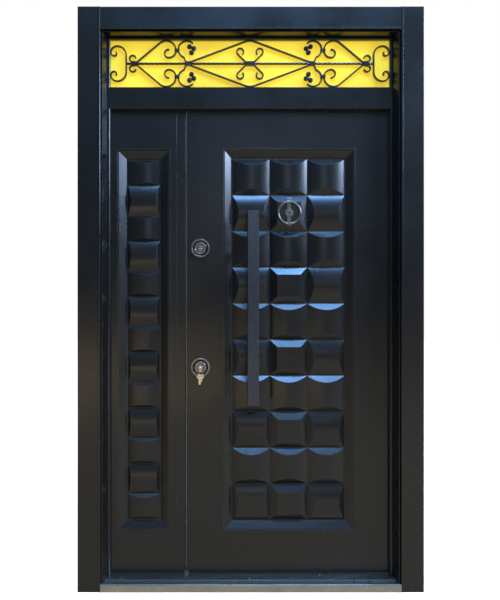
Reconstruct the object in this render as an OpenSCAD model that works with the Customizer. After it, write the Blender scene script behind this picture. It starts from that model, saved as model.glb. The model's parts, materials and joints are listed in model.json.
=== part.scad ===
// Leaf-and-a-half steel entrance door with a fixed, grilled transom.
// X runs to the right seen from outside, Y runs into the building, Z is up.
// The origin is on the floor, mid-width, in the plane of the outer wall face.

/* [Overall] */
// Width over the casings
overall_w = 1500; // [1400:1:1900]
// Height from the floor to the top of the casing
overall_h = 2535; // [2350:1:3050]

/* [Casing] */
// Face width of the flat casings
casing_w = 98; // [80:1:120]
// Thickness of the casings, proud of the wall
casing_t = 12; // [6:1:20]

/* [Frame] */
// Depth of the frame into the wall
frame_d = 128; // [120:1:160]
// How far the side stops stand inside the casings
side_stop = 34; // [30:1:45]
// How far the head stop stands below the casing
head_stop = 26; // [24:1:45]
// Width of the frame hidden behind each casing
embed = 50; // [30:1:70]
// Thickness of the stop nose that the leaves close behind
stop_t = 14; // [10:1:16]
// Cover of the stops over the edges of the leaves
stop_lap = 13; // [10:1:18]
// Running clearance around the leaves
edge_gap = 6; // [5:0.5:8]
// Heights of the fixing holes in each jamb
fixing_z = [236, 464, 791, 1161, 1504, 1892];
// Diameter of the fixing holes
fixing_d = 9; // [6:0.5:12]
// Diameter of the head recess of the fixing holes
fixing_head_d = 16; // [14:0.5:18]

/* [Transom] */
// Daylight height of the transom
glass_h = 209; // [150:1:320]
// Height of the transom bar
bar_h = 96; // [70:1:140]
// Thickness of the pane
pane_t = 8; // [6:1:16]
// Section of the glazing beads
bead = 16; // [10:1:20]

/* [Threshold] */
// Height of the threshold
sill_h = 40; // [30:1:60]
// Height of the front nosing
nosing_h = 34; // [20:1:36]
// Gap below the leaves, closed by their bottom seals
leaf_lift = 20; // [12:1:30]

/* [Leaves] */
// Thickness of both leaves
leaf_t = 70; // [60:1:90]
// Thickness of the steel sheets
skin_t = 2; // [1:0.5:3]
// Width of the narrow leaf's flat front
narrow_w = 307; // [280:1:360]
// Width of the cover strip on the narrow leaf's meeting edge
strip_w = 37.5; // [25:0.5:50]
// Gap between the two leaves at the front
meeting_gap = 5.5; // [5:0.5:8]
// Back relief of the active leaf's meeting edge
active_relief = 10; // [8:0.5:14]
// Back relief of the narrow leaf's meeting edge
narrow_relief = 4.5; // [4:0.5:8]

/* [Panels] */
// Margin between the active leaf's edges and its panel
panel_margin = 164; // [150:1:180]
// Margin above and below both panels
panel_margin_v = 175; // [150:1:220]
// Depth of the panels behind the leaf face
panel_depth = 22; // [18:1:28]
// Width of the active panel's moulding
moulding_w = 40; // [34:1:50]
// Height of the raised blocks
block_h = 20; // [12:1:22]
// Width of the sloped end facets of the blocks
facet = 27; // [20:1:34]
// Width of the bevel of the pyramid blocks
pyramid_bevel = 31; // [24:1:38]
// Groove between neighbouring blocks
groove = 2; // [1:0.5:4]
// Width of the narrow panel over its moulding
narrow_panel_w = 233; // [200:1:250]
// Width of the narrow panel's moulding
narrow_moulding_w = 45; // [36:1:50]
// Height of the narrow panel's raised blocks
narrow_block_h = 15; // [10:1:18]
// Width of the narrow blocks' sloped facets
narrow_facet = 13; // [8:1:18]
// Height of a narrow upright block as a share of a lying one
upright_share = 0.833; // [0.7:0.01:1]

/* [Hardware] */
// Length of the pull bar
pull_len = 850; // [600:5:1000]
// Width of the pull bar
pull_w = 50; // [40:1:60]
// Thickness of the pull bar
pull_t = 22; // [16:1:30]
// Distance of the pull bar's face from the leaf face
pull_out = 70; // [60:1:90]
// Distance of the pull bar's middle from the meeting edge
pull_in = 292; // [280:1:300]
// Height of the pull bar's middle
pull_z = 1228; // [1180:1:1280]
// Lock backset from the meeting edge
backset = 62; // [55:1:70]
// Height of the lower lock
lock_low_z = 963; // [900:1:1050]
// Height of the upper lock
lock_high_z = 1492; // [1400:1:1600]
// Diameter of the lock roses
rose_d = 84; // [60:1:90]
// Outer diameter of the knocker ring
knocker_d = 108; // [90:1:116]
// Diameter of the knocker's wire
knocker_wire = 10; // [8:0.5:12]
// Diameter of the hinge knuckles
knuckle_d = 20; // [16:1:24]
// Length of one hinge knuckle
knuckle_len = 60; // [40:1:80]
// Diameter of the hinge pins
hinge_pin_d = 12; // [8:1:13]

/* [Grille] */
// In-plane thickness of the scroll bars
scroll_t = 6; // [4:0.5:8]
// Depth of the scroll bars
scroll_d = 12; // [8:0.5:13]
// Side of the square twisted bar
twist_bar = 8; // [6:0.5:8]

/* [Hidden] */
$fn = 64;
fit = 0.3;
slide = 0.5;
over = 1;

inner_x = overall_w / 2 - casing_w;
clear_x = inner_x - side_stop;
rebate_x = clear_x + stop_lap + edge_gap;
leaf_x = clear_x + stop_lap;
inner_z = overall_h - casing_w;
top_clear_z = inner_z - head_stop;
bar_top = top_clear_z - glass_h;
bar_bottom = bar_top - bar_h;
leaf_z0 = sill_h + leaf_lift;
leaf_z1 = bar_bottom + stop_lap;

slot_w = 5;
fixing_y = 15;
slot_y = 8;
reveal_front = -3;
splay_y = 33;
nose_y = 36;
stop_y = nose_y + stop_t;
gasket_t = 3;
leaf_y = stop_y + gasket_t + 5;
back_y = leaf_y + leaf_t;

pivot_y = back_y + knuckle_d / 2 + 1;
pivot_x = leaf_x + 3;

fold_x = -leaf_x + narrow_w;
strip_x = fold_x + strip_w;
meet_x = strip_x + meeting_gap;
relief_y = leaf_y + leaf_t / 2;

panel_x0 = meet_x + panel_margin;
panel_x1 = leaf_x - panel_margin;
panel_z0 = leaf_z0 + panel_margin_v;
panel_z1 = bar_bottom - panel_margin_v;
floor_y = leaf_y + panel_depth;
plate_t = 4;
cols = 3;
rows = 10;
field_x0 = panel_x0 + moulding_w;
field_z0 = panel_z0 + moulding_w;
pitch_x = (panel_x1 - panel_x0 - 2 * moulding_w) / cols;
pitch_z = (panel_z1 - panel_z0 - 2 * moulding_w) / rows;

narrow_mid = (-clear_x + fold_x) / 2 - 2;
npanel_x0 = narrow_mid - narrow_panel_w / 2;
npanel_x1 = narrow_mid + narrow_panel_w / 2;
upright_n = 7;
lying_n = 6;
nfield_z0 = panel_z0 + narrow_moulding_w;
nfield_h = panel_z1 - panel_z0 - 2 * narrow_moulding_w;
lying_h = nfield_h / (upright_n * upright_share + lying_n);
upright_h = lying_h * upright_share;

pull_x = meet_x + pull_in;
pull_y = leaf_y - pull_out;
standoff_d = 22;
spigot_d = 10;
standoff_z = [field_z0 + 7.5 * pitch_z, field_z0 + 4.5 * pitch_z];
crest_y = floor_y - block_h;

lock_x = meet_x + backset;
cyl_r = 8.5;
cyl_slab = 10;
cyl_drop = 24.5;
cyl_front = leaf_y - 14;
cyl_back = back_y + 14;

knock_x = field_x0 + 1.5 * pitch_x;
knock_z = field_z0 + 8.5 * pitch_z;
ring_r = (knocker_d - knocker_wire) / 2;
strap_t = 5;
ring_y = crest_y - strap_t - 5 - knocker_wire / 2;
eye_d = 12;
eye_len = 13;
eye_pin_d = 5;
pivot_ring_z = knock_z + ring_r + 12;
viewer_d = 14;

hinge_z = [leaf_z0 + 220, leaf_z0 + 1010, leaf_z0 + 1800];
leaf_plate_w = 44;
plate_hinge = 3;

grille_y = stop_y - scroll_d;
bar_y = grille_y + scroll_d / 2 - 1;
grille_z = (bar_top + top_clear_z) / 2;
half_h = glass_h / 2;
grille_back = stop_y + 2 - fit;
collar_x = [276, 513];
collar_w = 22;
collar_h = 19;
tie_x = 322;
tie_w = 22;
tie_z = 58;

// ---- helpers -------------------------------------------------------------

// Box from its low and high corners.
module span(a, b) {
    translate(a) cube(b - a);
}

// Extrudes an X-Y outline up Z from z0 to z1.
module upright(z0, z1) {
    translate([0, 0, z0]) linear_extrude(z1 - z0) children();
}

// Extrudes a Y-Z outline along X from x0 to x1.
module lengthwise(x0, x1) {
    translate([x0, 0, 0]) rotate([90, 0, 90]) linear_extrude(x1 - x0) children();
}

// Extrudes an X-Z outline into Y from y0 to y1.
module inward(y0, y1) {
    translate([0, y1, 0]) rotate([90, 0, 0]) linear_extrude(y1 - y0) children();
}

// Round bar along Y.
module rod_y(x, z, y0, y1, d) {
    translate([x, y0, z]) rotate([-90, 0, 0]) cylinder(d = d, h = y1 - y0);
}

// Flat ring sector in the X-Z plane, from angle a0 up to a1 (under 360 apart).
module arc(c, r, a0, a1, w) {
    reach = 2 * r + 2 * w;
    lap = atan(over / r);
    turn = a1 - a0 + 2 * lap;
    steps = ceil(turn / 60);
    pie = [for (i = [0 : steps]) let (a = a0 - lap + turn * i / steps)
        c + reach * [cos(a), sin(a)]];
    intersection() {
        translate(c) difference() {
            circle(r + w / 2);
            circle(r - w / 2);
        }
        polygon(concat([c], pie));
    }
}

// Flat bar in the X-Z plane from p to q.
module bar(p, q, w) {
    d = q - p;
    translate(p) rotate(atan2(d[1], d[0])) translate([-over, -w / 2])
        square([norm(d) + 2 * over, w]);
}

// Round end on a scroll bar.
module dot(p, w) {
    translate(p) circle(d = w);
}

// ---- frame ---------------------------------------------------------------

// Section of a jamb or head: u runs inward from the casing's inner edge.
function stop_section(stop) = [
    [-embed, 0], [0, 0], [0, slot_y], [slot_w, slot_y], [slot_w, reveal_front],
    [slot_w + 3, reveal_front], [stop - 12, splay_y], [stop - 12, splay_y + 9],
    [stop - 8, splay_y + 9], [stop - 8, nose_y], [stop - 3, nose_y],
    [stop, nose_y + 3], [stop, stop_y], [stop - stop_lap - edge_gap, stop_y],
    [stop - stop_lap - edge_gap, frame_d], [-embed, frame_d]];

// Jamb section with its slot and groove filled, for cutting what butts against it.
function butt_section(stop) = [
    [-embed - over, -30], [slot_w, -30], [slot_w, reveal_front],
    [slot_w + 3, reveal_front], [stop - 12, splay_y], [stop - 8, nose_y],
    [stop - 3, nose_y], [stop, nose_y + 3], [stop, stop_y],
    [stop - stop_lap - edge_gap, stop_y], [stop - stop_lap - edge_gap, frame_d + over],
    [-embed - over, frame_d + over]];

module jamb_butt(side) {
    upright(-over, overall_h)
        polygon([for (p = butt_section(side_stop)) [side * (inner_x - p[0]), p[1]]]);
}

module jamb_solid(side) {
    upright(0, inner_z + embed)
        polygon([for (p = stop_section(side_stop)) [side * (inner_x - p[0]), p[1]]]);
}

module casing_profile_strip(len) {
    linear_extrude(len) polygon([[0, 0], [0, -casing_t + 2], [2, -casing_t],
        [casing_w - 9, -casing_t], [casing_w - 8, -casing_t - 1.5],
        [casing_w - 2, -casing_t - 1.5], [casing_w, -casing_t], [casing_w, 0]]);
}

module casing_left() {
    color("#2b2724") translate([-overall_w / 2, 0, 0]) casing_profile_strip(overall_h);
}

module casing_right() {
    color("#2b2724") mirror([1, 0, 0]) translate([-overall_w / 2, 0, 0])
        casing_profile_strip(overall_h);
}

module casing_top() {
    color("#2b2724") translate([-inner_x, 0, overall_h]) rotate([0, 90, 0])
        casing_profile_strip(2 * inner_x);
}

module jamb(side) {
    mouth_x = inner_x - slot_w - 6;
    difference() {
        jamb_solid(side);
        span([-overall_w, -30, inner_z], [overall_w, 0, overall_h]);
        span([-overall_w, -30, inner_z - slot_w], [overall_w, slot_y, inner_z]);
        for (z = fixing_z) {
            translate([side * mouth_x, fixing_y, z]) rotate([0, side * 90, 0]) {
                cylinder(d = fixing_d, h = embed + 60);
                translate([0, 0, -30]) cylinder(d = fixing_head_d, h = 40);
            }
        }
    }
}

module jamb_left() {
    color("#33302d") jamb(-1);
}

module jamb_right() {
    color("#33302d") jamb(1);
}

module frame_head() {
    color("#33302d") difference() {
        lengthwise(-inner_x - embed, inner_x + embed)
            polygon([for (p = stop_section(head_stop)) [p[1], inner_z - p[0]]]);
        jamb_butt(-1);
        jamb_butt(1);
    }
}

module transom_bar() {
    color("#33302d") difference() {
        lengthwise(-clear_x - 8, clear_x + 8)
            polygon([[nose_y + 2, bar_bottom], [nose_y, bar_bottom + 2],
                [nose_y, bar_top - 3], [nose_y + 3, bar_top], [stop_y, bar_top],
                [stop_y, bar_top - stop_lap], [frame_d, bar_top - stop_lap],
                [frame_d, bar_bottom + stop_lap + edge_gap],
                [stop_y, bar_bottom + stop_lap + edge_gap], [stop_y, bar_bottom]]);
        jamb_solid(-1);
        jamb_solid(1);
    }
    color("#33302d") for (side = [-1, 1])
        span([min(side * (clear_x + 8), side * rebate_x), stop_y,
                bar_bottom + stop_lap + edge_gap],
            [max(side * (clear_x + 8), side * rebate_x), frame_d, bar_top - stop_lap]);
}

module threshold() {
    color("silver") difference() {
        lengthwise(-inner_x - embed, inner_x + embed)
            polygon([[-14, 0], [-14, nosing_h - 6], [-12, nosing_h - 2],
                [-8, nosing_h], [12, nosing_h], [12, nosing_h - 4], [16, nosing_h - 4],
                [16, sill_h], [34, sill_h], [34, sill_h - 2.5], [37, sill_h - 2.5],
                [37, sill_h], [52, sill_h], [52, sill_h - 2.5], [55, sill_h - 2.5],
                [55, sill_h], [back_y - 6, sill_h], [back_y - 6, 0]]);
        for (side = [-1, 1]) {
            jamb_solid(side);
            span([min(side * inner_x, side * overall_w), -20, -over],
                [max(side * inner_x, side * overall_w), frame_d, sill_h + over]);
            span([min(side * rebate_x, side * overall_w), stop_y, -over],
                [max(side * rebate_x, side * overall_w), frame_d, sill_h + over]);
            span([min(side * (inner_x - slot_w), side * inner_x), -over, -over],
                [max(side * (inner_x - slot_w), side * inner_x), slot_y, sill_h + over]);
        }
    }
}

module stop_gasket() {
    lip = 2;
    drop = 8;
    color("#151515") {
        for (side = [-1, 1])
            span([min(side * (clear_x - lip), side * (clear_x + 8)), stop_y, leaf_z0],
                [max(side * (clear_x - lip), side * (clear_x + 8)), stop_y + gasket_t,
                bar_bottom - drop]);
        span([-clear_x - 8, stop_y, bar_bottom - drop],
            [clear_x + 8, stop_y + gasket_t, bar_bottom + 8]);
    }
}

module glazing_tape() {
    color("#151515") inward(stop_y, stop_y + 2) difference() {
        translate([-clear_x - 10, bar_top - 10]) square([2 * clear_x + 20, glass_h + 17]);
        translate([-clear_x, bar_top]) square([2 * clear_x, glass_h]);
    }
}

module transom_glass() {
    color("#e2cf4a", 0.6)
        span([-clear_x - 12, stop_y + 2, bar_top - stop_lap + 3],
            [clear_x + 12, stop_y + 2 + pane_t, top_clear_z + stop_lap - 3]);
}

module glazing_beads() {
    y0 = stop_y + 2 + pane_t;
    color("#33302d") inward(y0, y0 + bead) difference() {
        translate([-rebate_x, bar_top - stop_lap])
            square([2 * rebate_x, glass_h + stop_lap + stop_lap + edge_gap]);
        translate([-clear_x + 2, bar_top + 2]) square([2 * clear_x - 4, glass_h - 4]);
    }
}

// ---- grille --------------------------------------------------------------

module grille_bar() {
    turn_len = 84;
    len = 1088;
    color("#2a2827") translate([-len / 2, bar_y, grille_z])
        rotate([0, 90, 0])
            linear_extrude(len, twist = 360 * len / turn_len, slices = 156, $fn = 4)
                square(twist_bar, center = true);
}

// C-scroll closing one end of the grille: opens outwards.
module end_scroll(w) {
    big = 40;
    mid = 28;
    small = 15;
    tip = 10;
    x = -(clear_x - fit - w / 2) + mid;
    z = half_h - 27 - big;
    bar([x + big, -1], [x + big, z], w);
    arc([x, z], big, 0, 90, w);
    arc([x, z + big - mid], mid, 90, 180, w);
    arc([x - mid + small, z + big - mid], small, 180, 270, w);
    arc([x - mid + small, z + big - mid - small + tip], tip, 270, 400, w);
}

// Leaning J-scroll with its small curl above the outer collar.
module hook_scroll(w) {
    bar([-507, 0], [-397.8, 91.3], w);
    arc([-370, 58.5], 43, 0, 130.2, w);
    arc([-359, 58.5], 32, -90, 0, w);
    arc([-359, 44.5], 18, 90, 270, w);
    dot([-359, 62.5], w);
    arc([-518, 22], 14, 20, 270, w);
    bar([-518, 8], [-510, 8], w);
    dot([-504.8, 26.8], w);
}

// Near-circle beside the inner collar, with its stem.
module hoop_scroll(w) {
    arc([-279, 63], 37.5, 48, 250, w);
    bar([-291.8, 27.8], [-283, 6], w);
    dot([-253.9, 90.9], w);
}

// Half of the long diamond, with its rounded apex.
module diamond_scroll(w) {
    apex_r = 58.5;
    lean = 20;
    top = half_h - w / 2;
    knee = [-apex_r * sin(lean), top - apex_r + apex_r * cos(lean)];
    foot = [-267, 6];
    bar(foot, knee, w);
    arc([0, top - apex_r], apex_r, 90, 90 + lean, w);
}

// Small curl springing from the middle collar.
module heart_scroll(w) {
    bar([-19, 7], [-53.6, 41.4], w);
    arc([-43, 52], 15, -40, 225, w);
    dot([-31.5, 42.4], w);
}

module collars() {
    for (x = concat([for (c = collar_x) -c], collar_x))
        translate([x - collar_w / 2, -collar_h / 2]) square([collar_w, collar_h]);
    translate([-20, -collar_h / 2]) square([40, collar_h]);
}

module grille_scrolls() {
    tie_h = 14;
    color("#2a2827") difference() {
        translate([0, 0, grille_z]) union() {
            inward(grille_y, grille_y + scroll_d)
                for (mx = [0, 1], mz = [0, 1])
                    mirror([mx, 0]) mirror([0, mz]) {
                        end_scroll(scroll_t);
                        hook_scroll(scroll_t);
                        hoop_scroll(scroll_t);
                        diamond_scroll(scroll_t);
                        heart_scroll(scroll_t);
                    }
            inward(grille_y - 2, grille_y + scroll_d) {
                collars();
                for (mx = [0, 1], mz = [0, 1])
                    mirror([mx, 0]) mirror([0, mz])
                        translate([-tie_x - tie_w / 2, tie_z - tie_h / 2])
                            square([tie_w, tie_h]);
            }
        }
        translate([-544.5, bar_y, grille_z]) rotate([0, 90, 0])
            cylinder(d = twist_bar * sqrt(2) + fit, h = 1089);
    }
}

// Cast clusters of three berries beside the inner collars.
module grille_clusters() {
    berries = [[-267, 74, 11], [-248, 66, 10.5], [-258, 48, 12]];
    stem_x = -tie_x + tie_w / 2 + fit;
    color("#2a2827") translate([0, grille_back, grille_z])
        for (mx = [0, 1], mz = [0, 1])
            mirror([mx, 0, 0]) mirror([0, 0, mz]) {
                for (b = berries) translate([b[0], -b[2], b[1]]) sphere(b[2]);
                span([stem_x, -14, 62], [-255, -7, 67]);
            }
}

// ---- hinges --------------------------------------------------------------

module frame_hinges(side) {
    color("#3a3835") for (z = hinge_z) difference() {
        union() {
            translate([side * pivot_x, pivot_y, z]) cylinder(d = knuckle_d, h = knuckle_len);
            translate([side * pivot_x, pivot_y, z + knuckle_len - over])
                cylinder(d = hinge_pin_d, h = knuckle_len - 4);
            span([min(side * (pivot_x + 4), side * (pivot_x + 46)), frame_d, z],
                [max(side * (pivot_x + 4), side * (pivot_x + 46)), frame_d + plate_hinge,
                z + knuckle_len]);
            span([min(side * (pivot_x + 4), side * (pivot_x + 10)), frame_d, z],
                [max(side * (pivot_x + 4), side * (pivot_x + 10)), pivot_y, z + knuckle_len]);
        }
    }
}

module leaf_hinges(side) {
    color("#3a3835") for (z = hinge_z) difference() {
        union() {
            translate([side * pivot_x, pivot_y, z + knuckle_len + 1])
                cylinder(d = knuckle_d, h = knuckle_len);
            span([min(side * (pivot_x - 12), side * (pivot_x - 12 - leaf_plate_w)), back_y,
                    z + knuckle_len + 1],
                [max(side * (pivot_x - 12), side * (pivot_x - 12 - leaf_plate_w)),
                back_y + plate_hinge, z + 2 * knuckle_len + 1]);
            span([min(side * (pivot_x - 6), side * (pivot_x - 16)), back_y,
                    z + knuckle_len + 1],
                [max(side * (pivot_x - 6), side * (pivot_x - 16)), pivot_y,
                z + 2 * knuckle_len + 1]);
        }
        translate([side * pivot_x, pivot_y, z + knuckle_len])
            cylinder(d = hinge_pin_d + 2 * fit, h = knuckle_len - 3);
    }
}

module narrow_frame_hinges() {
    frame_hinges(-1);
}

module active_frame_hinges() {
    frame_hinges(1);
}

// ---- narrow leaf ---------------------------------------------------------

module narrow_outline(y0, y1) {
    edge = function (y) strip_x - min(1, (y - leaf_y) / (relief_y - leaf_y)) * narrow_relief;
    polygon(concat([[-leaf_x, y0], [edge(y0), y0]],
        (y0 < relief_y && y1 > relief_y) ? [[edge(relief_y), relief_y]] : [],
        [[edge(y1), y1], [-leaf_x, y1]]));
}

// Frustum-shaped pocket: w0 x h0 mouth at y0 narrowing by inset down to y1.
module pocket(x0, x1, z0, z1, y0, y1, inset) {
    d = y1 - y0;
    run = inset * (d + over) / d;
    intersection() {
        upright(z0 - over, z1 + over)
            polygon([[x0, y0 - 20], [x1, y0 - 20], [x1, y0], [x1 - run, y1 + over],
                [x0 + run, y1 + over], [x0, y0]]);
        lengthwise(x0 - over, x1 + over)
            polygon([[y0 - 20, z0], [y0 - 20, z1], [y0, z1], [y1 + over, z1 - run],
                [y1 + over, z0 + run], [y0, z0]]);
    }
}

module narrow_core() {
    color("#3b3733") difference() {
        upright(leaf_z0, leaf_z1) intersection() {
            narrow_outline(leaf_y + skin_t, back_y - skin_t);
            translate([-leaf_x, 0]) square([leaf_x + fold_x, 200]);
        }
        span([npanel_x0, 0, panel_z0], [npanel_x1, floor_y + plate_t, panel_z1]);
    }
}

module narrow_outer_sheet() {
    color("#3b3733") difference() {
        span([-leaf_x, leaf_y, leaf_z0], [fold_x, leaf_y + skin_t, leaf_z1]);
        span([npanel_x0, 0, panel_z0], [npanel_x1, 200, panel_z1]);
    }
}

module narrow_inner_sheet() {
    color("#3b3733") upright(leaf_z0, leaf_z1) narrow_outline(back_y - skin_t, back_y);
}

// Closed edge box that carries the strip face on the meeting side.
module meeting_strip() {
    color("#35312e") upright(leaf_z0, leaf_z1) intersection() {
        union() {
            translate([0, 0.6]) narrow_outline(leaf_y, relief_y);
            narrow_outline(relief_y, back_y - skin_t);
        }
        translate([fold_x, 0]) square([strip_w + over, 200]);
    }
}

module strike_plate() {
    color("silver") for (z = [lock_low_z, lock_high_z])
        difference() {
            span([strip_x - narrow_relief, relief_y + 4, z - 90],
                [strip_x - narrow_relief + 1, back_y - 8, z + 90]);
            for (dz = [-55, 0, 55])
                span([strip_x - 20, relief_y + 10, z + dz - 14],
                    [strip_x + 20, back_y - 14, z + dz + 14]);
        }
}

module flush_bolts() {
    color("silver") for (z = [leaf_z0 + 90, leaf_z1 - 250])
        span([strip_x - narrow_relief, relief_y + 6, z],
            [strip_x - narrow_relief + 1, relief_y + 26, z + 160]);
}

module block_upright(x0, x1, z0, z1, h, f, base) {
    w = x1 - x0;
    r = (w * w / 4 + h * h) / (2 * h);
    intersection() {
        translate([(x0 + x1) / 2, base - h + r, z0 - over]) cylinder(r = r, h = z1 - z0 + 2 * over);
        lengthwise(x0, x1)
            polygon([[base + over, z0], [base, z0], [base - h - over, z0 + f * (h + over) / h],
                [base - h - over, z1 - f * (h + over) / h], [base, z1], [base + over, z1]]);
    }
}

module block_lying(x0, x1, z0, z1, h, f, base) {
    w = z1 - z0;
    r = (w * w / 4 + h * h) / (2 * h);
    intersection() {
        translate([x0 - over, base - h + r, (z0 + z1) / 2]) rotate([0, 90, 0])
            cylinder(r = r, h = x1 - x0 + 2 * over);
        upright(z0, z1)
            polygon([[x0, base + over], [x0, base], [x0 + f * (h + over) / h, base - h - over],
                [x1 - f * (h + over) / h, base - h - over], [x1, base], [x1, base + over]]);
    }
}

module block_pyramid(x0, x1, z0, z1, h, f, base) {
    intersection() {
        upright(z0, z1)
            polygon([[x0, base + over], [x0, base], [x0 + f, base - h], [x1 - f, base - h],
                [x1, base], [x1, base + over]]);
        lengthwise(x0, x1)
            polygon([[base + over, z0], [base, z0], [base - h, z0 + f], [base - h, z1 - f],
                [base, z1], [base + over, z1]]);
    }
}

module narrow_panel() {
    x0 = npanel_x0 + narrow_moulding_w + groove / 2;
    x1 = npanel_x1 - narrow_moulding_w - groove / 2;
    color("#37332f") {
        span([npanel_x0 + slide, floor_y, panel_z0 + slide],
            [npanel_x1 - slide, floor_y + plate_t, panel_z1 - slide]);
        for (i = [0 : upright_n - 1]) {
            z0 = nfield_z0 + i * (upright_h + lying_h);
            block_upright(x0, x1, z0 + groove / 2, z0 + upright_h - groove / 2,
                narrow_block_h, narrow_facet, floor_y);
        }
        for (i = [0 : lying_n - 1]) {
            z0 = nfield_z0 + upright_h + i * (upright_h + lying_h);
            block_lying(x0, x1, z0 + groove / 2, z0 + lying_h - groove / 2,
                narrow_block_h, narrow_facet, floor_y);
        }
    }
}

// Frame around a panel: a raised lip on the sheet, then a bevel to the floor.
module moulding(x0, x1, width) {
    lip = 4;
    lip_h = 1.5;
    flat = width * 0.17;
    foot = 5;
    difference() {
        union() {
            span([x0 - lip, leaf_y - lip_h, panel_z0 - lip],
                [x1 + lip, leaf_y, panel_z1 + lip]);
            span([x0 + slide, leaf_y - over, panel_z0 + slide],
                [x1 - slide, floor_y, panel_z1 - slide]);
        }
        pocket(x0 + flat, x1 - flat, panel_z0 + flat, panel_z1 - flat, leaf_y + 1,
            floor_y, width - flat - foot);
        span([x0 + 1, 0, panel_z0 + 1], [x1 - 1, leaf_y + 1, panel_z1 - 1]);
    }
}

module narrow_moulding() {
    step = 16;
    color("#35312e") difference() {
        moulding(npanel_x0, npanel_x1, narrow_moulding_w);
        span([npanel_x0 + step, 0, panel_z0 + step],
            [npanel_x1 - step, leaf_y + 4, panel_z1 - step]);
    }
}

module narrow_bottom_seal() {
    color("#151515")
        span([-leaf_x + 2, leaf_y + 8, sill_h + 6], [strip_x - 4, leaf_y + 20, leaf_z0]);
}

module narrow_leaf_hinges() {
    leaf_hinges(-1);
}

// ---- active leaf ---------------------------------------------------------

module active_outline(y0, y1) {
    edge = function (y) meet_x + min(1, (y - leaf_y) / (relief_y - leaf_y)) * active_relief;
    polygon(concat([[leaf_x, y0], [edge(y0), y0]],
        (y0 < relief_y && y1 > relief_y) ? [[edge(relief_y), relief_y]] : [],
        [[edge(y1), y1], [leaf_x, y1]]));
}

// Euro-profile outline centred on a lock's axis.
module cylinder_outline(z, grow) {
    translate([lock_x, z]) {
        circle(cyl_r + grow);
        translate([-cyl_slab / 2 - grow, -cyl_drop - grow])
            square([cyl_slab + 2 * grow, cyl_drop]);
    }
}

module cylinder_cuts() {
    inward(0, 300) {
        cylinder_outline(lock_low_z, slide);
        cylinder_outline(lock_high_z, slide);
    }
    rod_y(knock_x, knock_z, 0, 300, viewer_d + 2 * fit);
}

module standoff_cuts() {
    for (z = standoff_z) rod_y(pull_x, z, 0, floor_y + 30, spigot_d + 2 * fit);
}

module active_core() {
    color("#3b3733") difference() {
        upright(leaf_z0, leaf_z1) active_outline(leaf_y + skin_t, back_y - skin_t);
        span([panel_x0, 0, panel_z0], [panel_x1, floor_y + plate_t, panel_z1]);
        cylinder_cuts();
        standoff_cuts();
    }
}

module active_outer_sheet() {
    color("#3b3733") difference() {
        upright(leaf_z0, leaf_z1) active_outline(leaf_y, leaf_y + skin_t);
        span([panel_x0, 0, panel_z0], [panel_x1, 200, panel_z1]);
        cylinder_cuts();
    }
}

module active_inner_sheet() {
    color("#3b3733") difference() {
        upright(leaf_z0, leaf_z1) active_outline(back_y - skin_t, back_y);
        cylinder_cuts();
    }
}

module active_panel() {
    color("#37332f") difference() {
        union() {
            span([panel_x0 + slide, floor_y, panel_z0 + slide],
                [panel_x1 - slide, floor_y + plate_t, panel_z1 - slide]);
            for (c = [0 : cols - 1], r = [0 : rows - 1]) {
                x0 = field_x0 + c * pitch_x + groove / 2;
                x1 = field_x0 + (c + 1) * pitch_x - groove / 2;
                z0 = field_z0 + r * pitch_z + groove / 2;
                z1 = field_z0 + (r + 1) * pitch_z - groove / 2;
                if (r % 2 == 1)
                    block_upright(x0, x1, z0, z1, block_h, facet, floor_y);
                else if (c == 1)
                    block_pyramid(x0, x1, z0, z1, block_h, pyramid_bevel, floor_y);
                else
                    block_lying(x0, x1, z0, z1, block_h, facet, floor_y);
            }
        }
        cylinder_cuts();
        standoff_cuts();
    }
}

module active_moulding() {
    color("#35312e") moulding(panel_x0, panel_x1, moulding_w);
}

module active_bottom_seal() {
    color("#151515")
        span([meet_x + 6, leaf_y + 8, sill_h + 6], [leaf_x - 2, leaf_y + 20, leaf_z0]);
}

module active_leaf_hinges() {
    leaf_hinges(1);
}

module lock_faceplate() {
    color("silver") for (z = [lock_low_z, lock_high_z])
        span([meet_x + active_relief - 1, relief_y + 4, z - 100],
            [meet_x + active_relief, back_y - 8, z + 100]);
}

module pull_bar() {
    chamfer = 2.5;
    x0 = pull_x - pull_w / 2;
    x1 = pull_x + pull_w / 2;
    z0 = pull_z - pull_len / 2;
    z1 = pull_z + pull_len / 2;
    color("#2f2c2a") pocket_block(x0, x1, z0, z1, pull_y, pull_y + pull_t, chamfer);
}

// Block with its front edges chamfered.
module pocket_block(x0, x1, z0, z1, y0, y1, c) {
    intersection() {
        upright(z0, z1)
            polygon([[x0, y0 + c], [x0 + c, y0], [x1 - c, y0], [x1, y0 + c], [x1, y1], [x0, y1]]);
        lengthwise(x0, x1)
            polygon([[y0 + c, z0], [y0, z0 + c], [y0, z1 - c], [y0 + c, z1], [y1, z1], [y1, z0]]);
    }
}

module pull_standoffs() {
    color("#2f2c2a") for (z = standoff_z) {
        rod_y(pull_x, z, pull_y + pull_t, crest_y - fit, standoff_d);
        rod_y(pull_x, z, crest_y - over, floor_y + 24, spigot_d);
    }
}

// Round security rose on a lock, with its bright rim and its plug disc.
module rose(z) {
    r = rose_d / 2;
    proud = 12;
    difference() {
        translate([lock_x, leaf_y, z]) rotate([90, 0, 0]) rotate_extrude() union() {
            square([r, 4]);
            translate([r - 9, 0]) square([9, proud - 3]);
            translate([r - 6, proud - 3]) circle(3);
            translate([r - 6, 0]) square([3, proud]);
            square([r * 0.62, proud - 3]);
        }
        inward(0, 300) cylinder_outline(z, slide);
        for (side = [-1, 1])
            translate([lock_x + side * 19, leaf_y - proud, z]) rotate([-90, 0, 0])
                cylinder(d = 7.6, h = 6);
    }
}

module upper_rose() {
    color("silver") rose(lock_high_z);
}

module lower_rose() {
    color("silver") rose(lock_low_z);
}

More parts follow.
